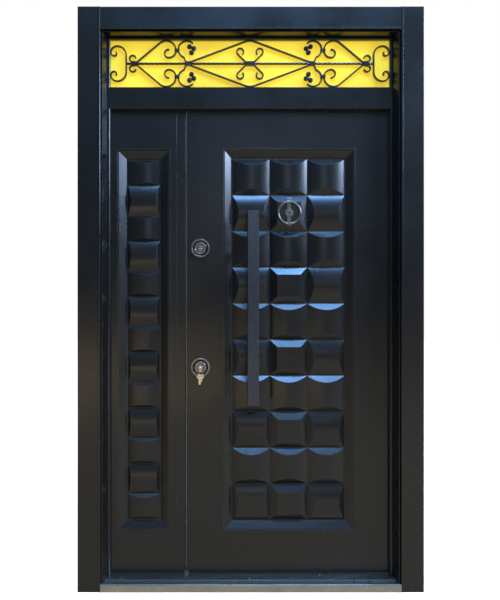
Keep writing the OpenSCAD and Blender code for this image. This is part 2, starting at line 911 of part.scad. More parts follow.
module upper_cylinder() {
    color("silver") inward(cyl_front, cyl_back) cylinder_outline(lock_high_z, 0);
}

module lower_cylinder() {
    color("silver") inward(cyl_front, cyl_back) cylinder_outline(lock_low_z, 0);
}

module key() {
    bow_y = cyl_front - 20;
    color("silver") difference() {
        union() {
            translate([lock_x - 1.3, bow_y, lock_low_z]) rotate([0, 90, 0])
                cylinder(d = 25, h = 2.6);
            span([lock_x - 1.3, bow_y, lock_low_z - 4], [lock_x + 1.3, cyl_front, lock_low_z + 4]);
        }
        translate([lock_x - 5, bow_y - 6, lock_low_z]) rotate([0, 90, 0]) cylinder(d = 6, h = 10);
    }
}

// Split ring through the key's bow, hanging under its own weight.
module key_ring() {
    ring_wire = 2;
    hole_y = cyl_front - 26;
    color("silver") translate([lock_x, hole_y, lock_low_z - 13.7]) rotate([90, 0, 0])
        rotate_extrude() translate([12, 0]) circle(d = ring_wire);
}

module spare_keys() {
    hole_y = cyl_front - 26;
    ring_foot = lock_low_z - 25.7;
    color("#b9974f") for (side = [-1, 1])
        translate([lock_x + side * 2.2, hole_y, ring_foot]) rotate([0, -side * 6, 0])
            difference() {
                union() {
                    translate([-1, 0, -8]) rotate([0, 90, 0]) cylinder(d = 22, h = 2);
                    span([-1, -4, -52], [1, 4, -16]);
                }
                translate([-3, 0, -2]) rotate([0, 90, 0]) cylinder(d = 7, h = 6);
            }
}

module knocker_base() {
    strap_w = 16;
    ear_gap = eye_len + 2 * slide;
    ear_w = 4;
    color("#4a4744") difference() {
        union() {
            span([knock_x - strap_w / 2, crest_y - strap_t, knock_z - ring_r - 9],
                [knock_x + strap_w / 2, crest_y, pivot_ring_z + 8]);
            rod_y(knock_x, knock_z, crest_y - 12, crest_y, 38);
            rod_y(knock_x, knock_z - ring_r, ring_y + knocker_wire / 2 + 2, crest_y - over, 10);
            for (side = [-1, 1])
                translate([knock_x + side * (ear_gap + ear_w) / 2 - ear_w / 2, 0, 0]) {
                    span([0, ring_y, pivot_ring_z - 6], [ear_w, crest_y - 1, pivot_ring_z + 6]);
                    translate([0, ring_y, pivot_ring_z]) rotate([0, 90, 0])
                        cylinder(d = 12, h = ear_w);
                }
            translate([knock_x - ear_gap / 2 - ear_w, ring_y, pivot_ring_z]) rotate([0, 90, 0])
                cylinder(d = eye_pin_d, h = ear_gap + 2 * ear_w);
        }
        rod_y(knock_x, knock_z, 0, 300, viewer_d + 2 * fit);
    }
}

module viewer() {
    color("#9aa0a4") {
        rod_y(knock_x, knock_z, crest_y - 15, back_y + 4, viewer_d);
        rod_y(knock_x, knock_z, crest_y - 17, crest_y - 12 - fit, 24);
        rod_y(knock_x, knock_z, back_y + fit, back_y + 5, 26);
    }
}

module inner_lock_plate() {
    lever_z = lock_low_z + 75;
    color("silver") difference() {
        union() {
            span([lock_x - 21, back_y, lock_low_z - 60], [lock_x + 21, back_y + 7, lever_z + 45]);
            rod_y(lock_x, lock_high_z, back_y, back_y + 7, 56);
        }
        inward(0, 300) {
            cylinder_outline(lock_low_z, slide);
            cylinder_outline(lock_high_z, slide);
        }
        rod_y(lock_x, lever_z, back_y - over, 300, 16 + 2 * fit);
    }
}

module inner_lever() {
    lever_z = lock_low_z + 75;
    color("silver") {
        rod_y(lock_x, lever_z, back_y + fit, back_y + 46, 16);
        span([lock_x, back_y + 36, lever_z - 7], [lock_x + 120, back_y + 46, lever_z + 7]);
    }
}

// ---- knocker ring --------------------------------------------------------

module knocker_ring() {
    color("silver") difference() {
        union() {
            translate([knock_x, ring_y, knock_z]) rotate([90, 0, 0]) rotate_extrude()
                translate([ring_r, 0]) circle(d = knocker_wire);
            translate([knock_x - eye_len / 2, ring_y, pivot_ring_z]) rotate([0, 90, 0])
                cylinder(d = eye_d, h = eye_len);
            span([knock_x - 4, ring_y - 4, knock_z + ring_r - 1],
                [knock_x + 4, ring_y + 4, pivot_ring_z - eye_pin_d]);
            rod_y(knock_x, knock_z - ring_r, ring_y - 6.5, ring_y + knocker_wire / 2 + 1, 11);
        }
        translate([knock_x - eye_len, ring_y, pivot_ring_z]) rotate([0, 90, 0])
            cylinder(d = eye_pin_d + 2 * fit, h = 2 * eye_len);
    }
}

casing_left();
casing_right();
casing_top();
jamb_left();
jamb_right();
frame_head();
transom_bar();
threshold();
stop_gasket();
glazing_tape();
transom_glass();
glazing_beads();
grille_bar();
grille_scrolls();
grille_clusters();
narrow_frame_hinges();
active_frame_hinges();
narrow_core();
narrow_outer_sheet();
narrow_inner_sheet();
narrow_panel();
narrow_moulding();
meeting_strip();
narrow_bottom_seal();
narrow_leaf_hinges();
strike_plate();
flush_bolts();
active_core();
active_outer_sheet();
active_inner_sheet();
active_panel();
active_moulding();
active_bottom_seal();
active_leaf_hinges();
lock_faceplate();
pull_bar();
pull_standoffs();
upper_rose();
lower_rose();
upper_cylinder();
lower_cylinder();
key();
key_ring();
spare_keys();
knocker_base();
viewer();
inner_lock_plate();
inner_lever();
knocker_ring();
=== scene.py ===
"""Looks of the steel entrance door: finishes, small fittings, camera and light.

Nothing here moves or changes a construction piece. Units are metres, +X right, +Y into the
building, +Z up.
"""

import json
import logging
import math
from dataclasses import dataclass, field
from enum import Enum

import bmesh
import bpy
from mathutils import Matrix, Vector


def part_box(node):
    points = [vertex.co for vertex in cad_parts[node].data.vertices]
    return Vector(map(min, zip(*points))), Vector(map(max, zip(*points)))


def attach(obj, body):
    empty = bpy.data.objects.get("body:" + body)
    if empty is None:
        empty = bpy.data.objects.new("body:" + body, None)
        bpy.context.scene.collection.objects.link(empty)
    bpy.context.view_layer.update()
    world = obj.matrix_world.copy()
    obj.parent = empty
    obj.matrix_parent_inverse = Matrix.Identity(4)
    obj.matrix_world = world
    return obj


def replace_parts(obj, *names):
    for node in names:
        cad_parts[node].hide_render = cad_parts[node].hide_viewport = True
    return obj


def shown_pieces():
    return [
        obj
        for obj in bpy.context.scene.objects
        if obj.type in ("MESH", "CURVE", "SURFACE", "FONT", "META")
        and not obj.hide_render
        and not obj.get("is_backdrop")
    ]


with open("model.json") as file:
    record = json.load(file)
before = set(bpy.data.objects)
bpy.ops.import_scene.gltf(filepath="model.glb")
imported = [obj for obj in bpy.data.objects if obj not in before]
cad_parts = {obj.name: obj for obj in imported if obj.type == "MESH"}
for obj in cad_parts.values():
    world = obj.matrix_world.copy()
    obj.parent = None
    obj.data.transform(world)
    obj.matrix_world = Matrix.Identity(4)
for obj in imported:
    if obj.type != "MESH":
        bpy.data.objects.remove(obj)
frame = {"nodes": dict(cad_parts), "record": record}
log = logging.getLogger("door")
MM = 0.001


# ---- colour and node helpers ----------------------------------------------


def linear(hexcode: str) -> tuple:
    """Turns an sRGB hex colour into linear RGBA.

    Args:
        hexcode: six hex digits, such as "3A3733".

    Returns:
        A tuple of four floats.
    """
    parts = [int(hexcode[i:i + 2], 16) / 255 for i in (0, 2, 4)]
    return tuple(c / 12.92 if c <= 0.04045 else ((c + 0.055) / 1.055) ** 2.4 for c in parts) + (1.0,)


class Graph:
    """A small wrapper that adds nodes to a tree and links them by name."""

    def __init__(self, tree: bpy.types.NodeTree) -> None:
        """Keeps the tree.

        Args:
            tree: the node tree that the nodes go into.

        Returns:
            None.
        """
        self.tree = tree

    def add(self, kind: str, settings: dict | None = None, **inputs) -> bpy.types.Node:
        """Adds one node.

        Args:
            kind: the node's type name.
            settings: properties of the node itself.
            inputs: values or output sockets, by input name with spaces as underscores.

        Returns:
            The new node.
        """
        node = self.tree.nodes.new(kind)
        for key, value in (settings or {}).items():
            setattr(node, key, value)
        for key, value in inputs.items():
            wanted = key.replace("_", " ")
            index = int(wanted[2:]) if wanted.startswith("at") and wanted[2:].isdigit() else None
            socket = node.inputs[index] if index is not None else node.inputs[wanted]
            if isinstance(value, bpy.types.NodeSocket):
                self.tree.links.new(value, socket)
            else:
                socket.default_value = value
        return node

    def math(self, operation: str, a, b=0.0) -> bpy.types.NodeSocket:
        """Adds a Math node.

        Args:
            operation: the Math operation.
            a: first value or socket.
            b: second value or socket.

        Returns:
            The output socket.
        """
        return self.add("ShaderNodeMath", {"operation": operation}, at0=a, at1=b).outputs[0]

    def band(self, value, low: float, high: float, out_low: float = 0.0,
             out_high: float = 1.0) -> bpy.types.NodeSocket:
        """Maps a value range to another, clamped.

        Args:
            value: the socket to map.
            low, high: range of the input.
            out_low, out_high: range of the output.

        Returns:
            The output socket.
        """
        node = self.add("ShaderNodeMapRange", at0=value, at1=low, at2=high, at3=out_low, at4=out_high)
        return node.outputs[0]

    def mix(self, factor, a, b) -> bpy.types.NodeSocket:
        """Mixes two colours.

        Args:
            factor: the mixing factor, 0 for a.
            a, b: colours or sockets.

        Returns:
            The colour output socket.
        """
        node = self.add("ShaderNodeMix", {"data_type": "RGBA"})
        for index, value in ((0, factor), (6, a), (7, b)):
            if isinstance(value, bpy.types.NodeSocket):
                self.tree.links.new(value, node.inputs[index])
            else:
                node.inputs[index].default_value = value
        return node.outputs[2]


# ---- finishes ---------------------------------------------------------------


@dataclass(frozen=True)
class Coat:
    """Powder-coated steel: fine orange peel, dust at random, and lighter edges that are partly wear and
    partly a painted highlight.
    """

    name: str
    colour: str
    worn_and_highlight: str
    roughness: float = 0.42
    peel_mm: float = 1.6
    peel_depth: float = 0.10
    grain: float = 0.12
    edge_mm: float = 0.9
    edge: float = 0.55
    clear: float = 0.25


@dataclass(frozen=True)
class Metal:
    """Bare or plated metal, brushed along one axis, with a painted highlight along its edges."""

    name: str
    colour: str
    tint: str
    roughness: float
    stretch: tuple = (1.0, 1.0, 1.0)
    brush_mm: float = 0.6
    depth: float = 0.05
    dirt: float = 0.3


@dataclass(frozen=True)
class Soft:
    """Rubber and other matt parts."""

    name: str
    colour: str
    dust: str
    roughness: float = 0.7


@dataclass(frozen=True)
class Pane:
    """A tinted pane that glows by emission: painted light standing in for the daylight behind it."""

    name: str
    colour: str
    shade: str
    roughness: float = 0.18
    through: float = 0.35


def start(name: str) -> tuple:
    """Makes an empty node material.

    Args:
        name: the material's name.

    Returns:
        The material, its Graph and its Principled node.
    """
    mat = bpy.data.materials.new(name)
    mat.use_nodes = True
    graph = Graph(mat.node_tree)
    return mat, graph, mat.node_tree.nodes["Principled BSDF"]


def edge_mask(g: Graph, radius: float) -> tuple:
    """Finds edges: where a rounded normal leaves the true one.

    Args:
        g: the Graph.
        radius: width of the edge in metres.

    Returns:
        The mask socket and the rounded normal socket.
    """
    bevel = g.add("ShaderNodeBevel", {"samples": 4}, Radius=radius)
    geometry = g.add("ShaderNodeNewGeometry")
    dot = g.add("ShaderNodeVectorMath", {"operation": "DOT_PRODUCT"}, at0=bevel.outputs[0],
                at1=geometry.outputs["Normal"])
    return g.band(dot.outputs["Value"], 0.995, 0.80), bevel.outputs[0]


def coat_material(c: Coat) -> bpy.types.Material:
    """Builds a powder coat.

    Args:
        c: the Coat.

    Returns:
        The material.
    """
    mat, g, bsdf = start(c.name)
    place = g.add("ShaderNodeTexCoord").outputs["Object"]
    edge, rounded = edge_mask(g, c.edge_mm * MM)
    peel = g.add("ShaderNodeTexNoise", Vector=place, Scale=1000 / c.peel_mm, Detail=3.0, Roughness=0.6)
    grain = g.add("ShaderNodeTexNoise", Vector=place, Scale=1000 / (c.peel_mm * 2.6), Detail=2.0)
    cloud = g.add("ShaderNodeTexNoise", Vector=place, Scale=3.2, Detail=6.0, Roughness=0.62)
    base = g.mix(g.band(grain.outputs["Fac"], 0.36, 0.66, 0.0, c.grain), linear(c.colour), linear(c.worn_and_highlight))
    # lighter colour along the edges: partly wear, partly a painted highlight where the arrises catch the
    # light
    edge_wear_and_highlight = g.math("MULTIPLY", edge, g.band(cloud.outputs["Fac"], 0.35, 0.62, 0.35 * c.edge, c.edge))
    colour = g.mix(edge_wear_and_highlight, base, linear(c.worn_and_highlight))
    rough = g.band(cloud.outputs["Fac"], 0.3, 0.7, c.roughness - 0.07, c.roughness + 0.09)
    bump = g.add("ShaderNodeBump", Strength=c.peel_depth, Distance=0.0012, Height=peel.outputs["Fac"],
                 Normal=rounded)
    g.tree.links.new(colour, bsdf.inputs["Base Color"])
    g.tree.links.new(rough, bsdf.inputs["Roughness"])
    g.tree.links.new(bump.outputs[0], bsdf.inputs["Normal"])
    bsdf.inputs["Coat Weight"].default_value = c.clear
    bsdf.inputs["Coat Roughness"].default_value = 0.2
    return mat


def metal_material(m: Metal) -> bpy.types.Material:
    """Builds a brushed or plated metal.

    Args:
        m: the Metal.

    Returns:
        The material.
    """
    mat, g, bsdf = start(m.name)
    place = g.add("ShaderNodeTexCoord").outputs["Object"]
    drawn = g.add("ShaderNodeMapping", Vector=place, Scale=m.stretch)
    brush = g.add("ShaderNodeTexNoise", Vector=drawn.outputs[0], Scale=1000 / m.brush_mm, Detail=3.0)
    cloud = g.add("ShaderNodeTexNoise", Vector=place, Scale=14.0, Detail=5.0, Roughness=0.65)
    edge, rounded = edge_mask(g, 0.6 * MM)
    dull = g.band(cloud.outputs["Fac"], 0.38, 0.68, 0.0, m.dirt)
    colour = g.mix(dull, linear(m.colour), linear(m.tint))
    # edges mixed 35% toward white: a painted highlight
    edge_highlighted = g.mix(g.math("MULTIPLY", edge, 0.35), colour, (1.0, 1.0, 1.0, 1.0))
    rough = g.math("ADD", g.band(cloud.outputs["Fac"], 0.3, 0.7, m.roughness - 0.05, m.roughness + 0.1),
                   g.band(brush.outputs["Fac"], 0.3, 0.7, -0.04, 0.04))
    bump = g.add("ShaderNodeBump", Strength=m.depth, Distance=0.0006, Height=brush.outputs["Fac"],
                 Normal=rounded)
    g.tree.links.new(edge_highlighted, bsdf.inputs["Base Color"])
    g.tree.links.new(rough, bsdf.inputs["Roughness"])
    g.tree.links.new(bump.outputs[0], bsdf.inputs["Normal"])
    bsdf.inputs["Metallic"].default_value = 1.0
    return mat


def soft_material(s: Soft) -> bpy.types.Material:
    """Builds rubber with dust in its grain.

    Args:
        s: the Soft finish.

    Returns:
        The material.
    """
    mat, g, bsdf = start(s.name)
    place = g.add("ShaderNodeTexCoord").outputs["Object"]
    grain = g.add("ShaderNodeTexNoise", Vector=place, Scale=900.0, Detail=3.0)
    cloud = g.add("ShaderNodeTexNoise", Vector=place, Scale=9.0, Detail=5.0)
    colour = g.mix(g.band(cloud.outputs["Fac"], 0.4, 0.7, 0.0, 0.5), linear(s.colour), linear(s.dust))
    bump = g.add("ShaderNodeBump", Strength=0.2, Distance=0.0004, Height=grain.outputs["Fac"])
    g.tree.links.new(colour, bsdf.inputs["Base Color"])
    g.tree.links.new(g.band(cloud.outputs["Fac"], 0.3, 0.7, s.roughness - 0.1, s.roughness + 0.1),
                     bsdf.inputs["Roughness"])
    g.tree.links.new(bump.outputs[0], bsdf.inputs["Normal"])
    return mat


def pane_material(p: Pane) -> bpy.types.Material:
    """Builds the tinted pane: a coloured film whose glow by emission is painted light for the daylight in it.

    Args:
        p: the Pane.

    Returns:
        The material.
    """
    mat, g, bsdf = start(p.name)
    place = g.add("ShaderNodeTexCoord").outputs["Object"]
    cloud = g.add("ShaderNodeTexNoise", Vector=place, Scale=2.6, Detail=3.0)
    wave = g.add("ShaderNodeTexNoise", Vector=place, Scale=30.0, Detail=2.0)
    colour = g.mix(g.band(cloud.outputs["Fac"], 0.35, 0.68), linear(p.colour), linear(p.shade))
    bump = g.add("ShaderNodeBump", Strength=0.05, Distance=0.002, Height=wave.outputs["Fac"])
    g.tree.links.new(colour, bsdf.inputs["Base Color"])
    # the pane's colour also drives its emission: painted light, a glow standing in for daylight behind it
    g.tree.links.new(colour, bsdf.inputs["Emission Color"])
    g.tree.links.new(g.band(cloud.outputs["Fac"], 0.3, 0.7, p.roughness - 0.05, p.roughness + 0.08),
                     bsdf.inputs["Roughness"])
    g.tree.links.new(bump.outputs[0], bsdf.inputs["Normal"])
    bsdf.inputs["Transmission Weight"].default_value = p.through
    bsdf.inputs["Emission Strength"].default_value = 0.62
    return mat


class Finish(Enum):
    """Every finish on the door."""

    # satin dark-brown powder coat on the leaves' pressed steel
    LEAF = Coat("leaf_coat", "0F0C09", "76716A", roughness=0.29, edge_mm=1.5, edge=0.8,
                grain=0.06)
    # the frame's profiles, same coat, a little smoother
    FRAME = Coat("frame_coat", "0F0C0A", "4E4943", roughness=0.27, peel_depth=0.07)
    # the casings: the frame's coat a little lighter, painted light for their place in the open light
    CASING = Coat("casing_coat", "110E0B", "57524B", roughness=0.28, peel_depth=0.07)
    # the pull bar, gripped daily; its pale edges are partly wear, partly a painted highlight
    HANDLE = Coat("handle_coat", "15161A", "B0B2B6", roughness=0.28, edge=0.8, clear=0.4)
    # hinges, under the same coat
    HINGE = Coat("hinge_coat", "181512", "55504A", roughness=0.42)
    # forged scrolls in black iron paint, hammered
    IRON = Coat("iron_paint", "0F0E0D", "3C3835", roughness=0.36, peel_mm=4.0, peel_depth=0.35)
    # threshold: stainless sheet brushed along the door's width
    SILL = Metal("sill_stainless", "B9B8B2", "7E7B72", 0.30, stretch=(0.03, 1.0, 1.0), depth=0.10)
    # roses and plates: satin nickel on zinc
    SATIN = Metal("satin_nickel", "8F8D88", "5C5954", 0.30, depth=0.06)
    # keys and cylinders: polished nickel; the knocker's ring takes satin nickel instead
    NICKEL = Metal("bright_nickel", "C9C6BE", "8C8880", 0.16, depth=0.03)
    # spare keys: worn brass, part plated
    BRASS = Metal("key_brass", "E4DFCB", "B9A566", 0.26, depth=0.06)
    # seals: extruded rubber
    RUBBER = Soft("seal_rubber", "141413", "34322F")
    # near-black painted shade: the hollow of a keyway or lens, and the roses' gaps
    DARK = Soft("painted_shade_black", "050505", "101010", 0.5)
    # the transom's yellow glass
    PANE = Pane("yellow_pane", "E8D244", "D8C03A")


BUILDERS = {Coat: coat_material, Metal: metal_material, Soft: soft_material, Pane: pane_material}
made = {}


def finish(kind: Finish) -> bpy.types.Material:
    """Gives the material of a finish, made once.

    Args:
        kind: a Finish.

    Returns:
        The material.
    """
    if kind not in made:
        made[kind] = BUILDERS[type(kind.value)](kind.value)
    return made[kind]


SLOTS = {
    "frame_paint": Finish.FRAME, "casing_paint": Finish.CASING, "leaf_paint": Finish.LEAF,
    "handle_paint": Finish.HANDLE, "hinge_paint": Finish.HINGE, "wrought_iron": Finish.IRON,
    "stainless": Finish.SILL, "satin_steel": Finish.SATIN, "nickel": Finish.NICKEL,
    "brass": Finish.BRASS, "rubber_seal": Finish.RUBBER, "transom_glass": Finish.PANE,
}


# pieces whose finish is not their slot's own
SPECIAL = {"knocker_ring": Finish.SATIN}


def paint_construction() -> None:
    """Gives every construction piece the finish of its material slot.

    Args:
        None.

    Returns:
        None.
    """
    slots = {part["node"]: part["material_slot"] for part in frame["record"]["subparts"]}
    for name, obj in frame["nodes"].items():
        kind = SPECIAL.get(name, SLOTS[slots[name]])
        obj.data.materials.clear()
        obj.data.materials.append(finish(kind))


# ---- mesh helpers ------------------------------------------------------------


def new_object(name: str, mesh: bpy.types.Mesh, kind: Finish, smooth: bool = True) -> bpy.types.Object:
    """Links a finished mesh as an object with one finish.

    Args:
        name: the object's name.
        mesh: the mesh.
        kind: its Finish.
        smooth: whether its faces are shaded smooth.

    Returns:
        The object.
    """
    mesh.materials.clear()
    mesh.materials.append(finish(kind))
    for face in mesh.polygons:
        face.use_smooth = smooth
    obj = bpy.data.objects.new(name, mesh)
    bpy.context.scene.collection.objects.link(obj)
    return obj


def clean(bm: bmesh.types.BMesh, name: str) -> bpy.types.Mesh:
    """Turns a bmesh into a mesh with merged points and outward normals.

    Args:
        bm: the bmesh, which is freed.
        name: the mesh's name.

    Returns:
        The mesh.
    """
    bmesh.ops.remove_doubles(bm, verts=bm.verts, dist=1e-6)
    bmesh.ops.recalc_face_normals(bm, faces=bm.faces)
    mesh = bpy.data.meshes.new(name)
    bm.to_mesh(mesh)
    bm.free()
    return mesh


def lathe(bm: bmesh.types.BMesh, origin, axis, profile: list, segments: int = 48,
          closed: bool = False) -> None:
    """Turns a profile about an axis, into a bmesh.

    Args:
        bm: the bmesh to add to.
        origin: the axis's start.
        axis: the axis's direction.
        profile: (radius, height) pairs along the axis.
        segments: steps around.
        closed: whether the profile joins back to its start.

    Returns:
        None.
    """
    axis = Vector(axis).normalized()
    side = axis.orthogonal().normalized()
    third = axis.cross(side)
    rings = []
    for radius, height in profile:
        centre = Vector(origin) + axis * height
        if radius < 1e-6:
            rings.append([bm.verts.new(centre)] * segments)
            continue
        rings.append([bm.verts.new(centre + radius * (math.cos(a) * side + math.sin(a) * third))
                      for a in (2 * math.pi * i / segments for i in range(segments))])
    pairs = list(zip(rings, rings[1:])) + ([(rings[-1], rings[0])] if closed else [])
    for low, high in pairs:
        for i in range(segments):
            j = (i + 1) % segments
            corners = [low[i], low[j], high[j], high[i]]
            unique = [v for k, v in enumerate(corners) if v not in corners[:k]]
            if len(unique) > 2:
                bm.faces.new(unique)


def round_profile(centre: tuple, radius: float, steps: int = 16) -> list:
    """Gives the points of a round section, for a ring.

    Args:
        centre: (radius, height) of the section's middle.
        radius: the section's radius.
        steps: number of points.

    Returns:
        A list of (radius, height) pairs.
    """
    return [(centre[0] + radius * math.cos(2 * math.pi * i / steps),
             centre[1] + radius * math.sin(2 * math.pi * i / steps)) for i in range(steps)]


def block(bm: bmesh.types.BMesh, low, high, bevel: float = 0.0) -> None:
    """Adds a box with its edges rounded.

    Args:
        bm: the bmesh to add to.
        low, high: the box's corners.
        bevel: the rounding's width.

    Returns:
        None.
    """
    made_box = bmesh.ops.create_cube(bm, size=1.0)["verts"]
    size = Vector(high) - Vector(low)
    for vert in made_box:
        vert.co = Vector(low) + Vector([(vert.co[k] + 0.5) * size[k] for k in range(3)])
    if bevel:
        edges = list({e for v in made_box for e in v.link_edges})
        bmesh.ops.bevel(bm, geom=edges, offset=bevel, segments=3, affect="EDGES", profile=0.5)


# ---- repeated pieces, by Geometry Nodes ------------------------------------------


def socket(tree: bpy.types.NodeTree, name: str, kind: str, in_out: str = "INPUT"):
    """Adds a named socket to a tree's interface.

    Args:
        tree: the node tree.
        name: the socket's name.
        kind: the socket's type.
        in_out: "INPUT" or "OUTPUT".

    Returns:
        The interface socket.
    """
    return tree.interface.new_socket(name=name, in_out=in_out, socket_type=kind)


def screw_tree() -> bpy.types.NodeTree:
    """Builds the tree that sets a cross-head screw on every point.

    Returns:
        The node tree, with inputs Head radius, Head height, Facing, Seed and Finish.
    """
    tree = bpy.data.node_groups.new("screws_on_points", "GeometryNodeTree")
    socket(tree, "Geometry", "NodeSocketGeometry")
    for name, kind in (("Head radius", "NodeSocketFloat"), ("Head height", "NodeSocketFloat"),
                       ("Facing", "NodeSocketVector"), ("Seed", "NodeSocketInt"),
                       ("Finish", "NodeSocketMaterial")):
        socket(tree, name, kind)
    socket(tree, "Geometry", "NodeSocketGeometry", "OUTPUT")
    g = Graph(tree)
    given = g.add("NodeGroupInput").outputs
    dome = g.add("GeometryNodeMeshUVSphere", Segments=28, Rings=14, Radius=given["Head radius"])
    flat = g.add("ShaderNodeMath", {"operation": "DIVIDE"}, at0=given["Head height"],
                 at1=given["Head radius"]).outputs[0]
    squash = g.add("ShaderNodeCombineXYZ", X=1.0, Y=1.0, Z=flat).outputs[0]
    head = g.add("GeometryNodeTransform", Geometry=dome.outputs["Mesh"], Scale=squash)
    arm = g.add("ShaderNodeVectorMath", {"operation": "SCALE"}, Scale=given["Head radius"])
    arm.inputs[0].default_value = (1.25, 0.24, 1.0)
    bar = g.add("GeometryNodeMeshCube", Size=arm.outputs[0]).outputs["Mesh"]
    turned = g.add("GeometryNodeTransform", Geometry=bar)
    turned.inputs["Rotation"].default_value = (0, 0, math.pi / 2)
    cross = g.add("GeometryNodeJoinGeometry")
    tree.links.new(bar, cross.inputs[0])
    tree.links.new(turned.outputs[0], cross.inputs[0])
    lift = g.add("ShaderNodeCombineXYZ", X=0.0, Y=0.0)
    reach = g.add("ShaderNodeMath", {"operation": "MULTIPLY_ADD"}, at0=given["Head radius"], at1=0.5,
                  at2=0.0)
    half = g.add("ShaderNodeMath", {"operation": "MULTIPLY_ADD"}, at0=given["Head height"], at1=0.45,
                 at2=reach.outputs[0])
    tree.links.new(half.outputs[0], lift.inputs["Z"])
    raised = g.add("GeometryNodeTransform", Geometry=cross.outputs[0], Translation=lift.outputs[0])
    cut = g.add("GeometryNodeMeshBoolean", {"operation": "DIFFERENCE"})
    tree.links.new(head.outputs[0], cut.inputs["Mesh 1"])
    tree.links.new(raised.outputs[0], cut.inputs["Mesh 2"])
    facing = g.add("FunctionNodeEulerToRotation", Euler=given["Facing"])
    points = g.add("GeometryNodeMeshToPoints", Mesh=given["Geometry"])
    placed = g.add("GeometryNodeInstanceOnPoints", Points=points.outputs[0],
                   Instance=cut.outputs["Mesh"], Rotation=facing.outputs[0])
    chance = g.add("FunctionNodeRandomValue", {"data_type": "FLOAT"}, Seed=given["Seed"])
    chance.inputs[2].default_value = 0.0
    chance.inputs[3].default_value = math.pi
    spin = g.add("ShaderNodeCombineXYZ", X=0.0, Y=0.0, Z=chance.outputs[1])
    turn = g.add("FunctionNodeEulerToRotation", Euler=spin.outputs[0])
    spun = g.add("GeometryNodeRotateInstances", Instances=placed.outputs[0], Rotation=turn.outputs[0])
    real = g.add("GeometryNodeRealizeInstances", Geometry=spun.outputs[0])
    coated = g.add("GeometryNodeSetMaterial", Geometry=real.outputs[0], Material=given["Finish"])
    out = g.add("NodeGroupOutput")
    tree.links.new(coated.outputs[0], out.inputs[0])
    return tree


def berry_tree() -> bpy.types.NodeTree:
    """Builds the tree that turns points into berries set with small grains.

    Returns:
        The node tree, with inputs Berry radius, Grain radius, Detail and Finish.
    """
    tree = bpy.data.node_groups.new("berries_on_points", "GeometryNodeTree")
    socket(tree, "Geometry", "NodeSocketGeometry")
    for name, kind in (("Berry radius", "NodeSocketFloat"), ("Grain radius", "NodeSocketFloat"),
                       ("Detail", "NodeSocketInt"), ("Finish", "NodeSocketMaterial")):
        socket(tree, name, kind)
    socket(tree, "Geometry", "NodeSocketGeometry", "OUTPUT")
    g = Graph(tree)
    given = g.add("NodeGroupInput").outputs
    core = g.add("GeometryNodeMeshIcoSphere", Radius=given["Berry radius"],
                 Subdivisions=given["Detail"]).outputs["Mesh"]
    grain = g.add("GeometryNodeMeshIcoSphere", Radius=given["Grain radius"], Subdivisions=2)
    set_out = g.add("GeometryNodeMeshToPoints", Mesh=core)
    grains = g.add("GeometryNodeInstanceOnPoints", Points=set_out.outputs[0],
                   Instance=grain.outputs["Mesh"])
    berry = g.add("GeometryNodeJoinGeometry")
    tree.links.new(core, berry.inputs[0])
    tree.links.new(grains.outputs[0], berry.inputs[0])
    points = g.add("GeometryNodeMeshToPoints", Mesh=given["Geometry"])
    placed = g.add("GeometryNodeInstanceOnPoints", Points=points.outputs[0], Instance=berry.outputs[0])
    real = g.add("GeometryNodeRealizeInstances", Geometry=placed.outputs[0])
    coated = g.add("GeometryNodeSetMaterial", Geometry=real.outputs[0], Material=given["Finish"])
    out = g.add("NodeGroupOutput")
    tree.links.new(coated.outputs[0], out.inputs[0])
    return tree


def grow(name: str, points: list, tree: bpy.types.NodeTree, kind: Finish, body: str,
         smooth: bool = True, **values) -> bpy.types.Object:
    """Runs a tree over points and keeps the result as a plain mesh.

    Args:
        name: the piece's name.
        points: places in metres.
        tree: the node tree.
        kind: the Finish.
        body: the body it rides on.
        smooth: whether its faces are shaded smooth.
        values: the tree's inputs, with spaces as underscores.

    Returns:
        The finished object.
    """
    seed_mesh = bpy.data.meshes.new(name + "_points")
    seed_mesh.from_pydata([tuple(p) for p in points], [], [])
    carrier = bpy.data.objects.new(name + "_carrier", seed_mesh)
    bpy.context.scene.collection.objects.link(carrier)
    modifier = carrier.modifiers.new("grow", "NODES")
    modifier.node_group = tree
    wanted = {key.replace("_", " "): value for key, value in values.items()}
    wanted["Finish"] = finish(kind)
    for item in tree.interface.items_tree:
        if item.item_type == "SOCKET" and item.in_out == "INPUT" and item.name in wanted:
            modifier[item.identifier] = wanted[item.name]
    graph = bpy.context.evaluated_depsgraph_get()
    mesh = bpy.data.meshes.new_from_object(carrier.evaluated_get(graph))
    carrier.modifiers.clear()
    bpy.data.objects.remove(carrier)
    obj = new_object(name, mesh, kind, smooth)
    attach(obj, body)
    return obj


def centre(node: str) -> Vector:
    """Gives the middle of a construction piece's box.

    Args:
        node: the piece's name.

    Returns:
        The middle as a Vector.
    """
    low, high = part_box(node)
    return (Vector(low) + Vector(high)) / 2


# ---- sub-assemblies --------------------------------------------------------------


OUT = (math.pi / 2, 0.0, 0.0)
IN = (-math.pi / 2, 0.0, 0.0)
UP = (0.0, 0.0, 0.0)


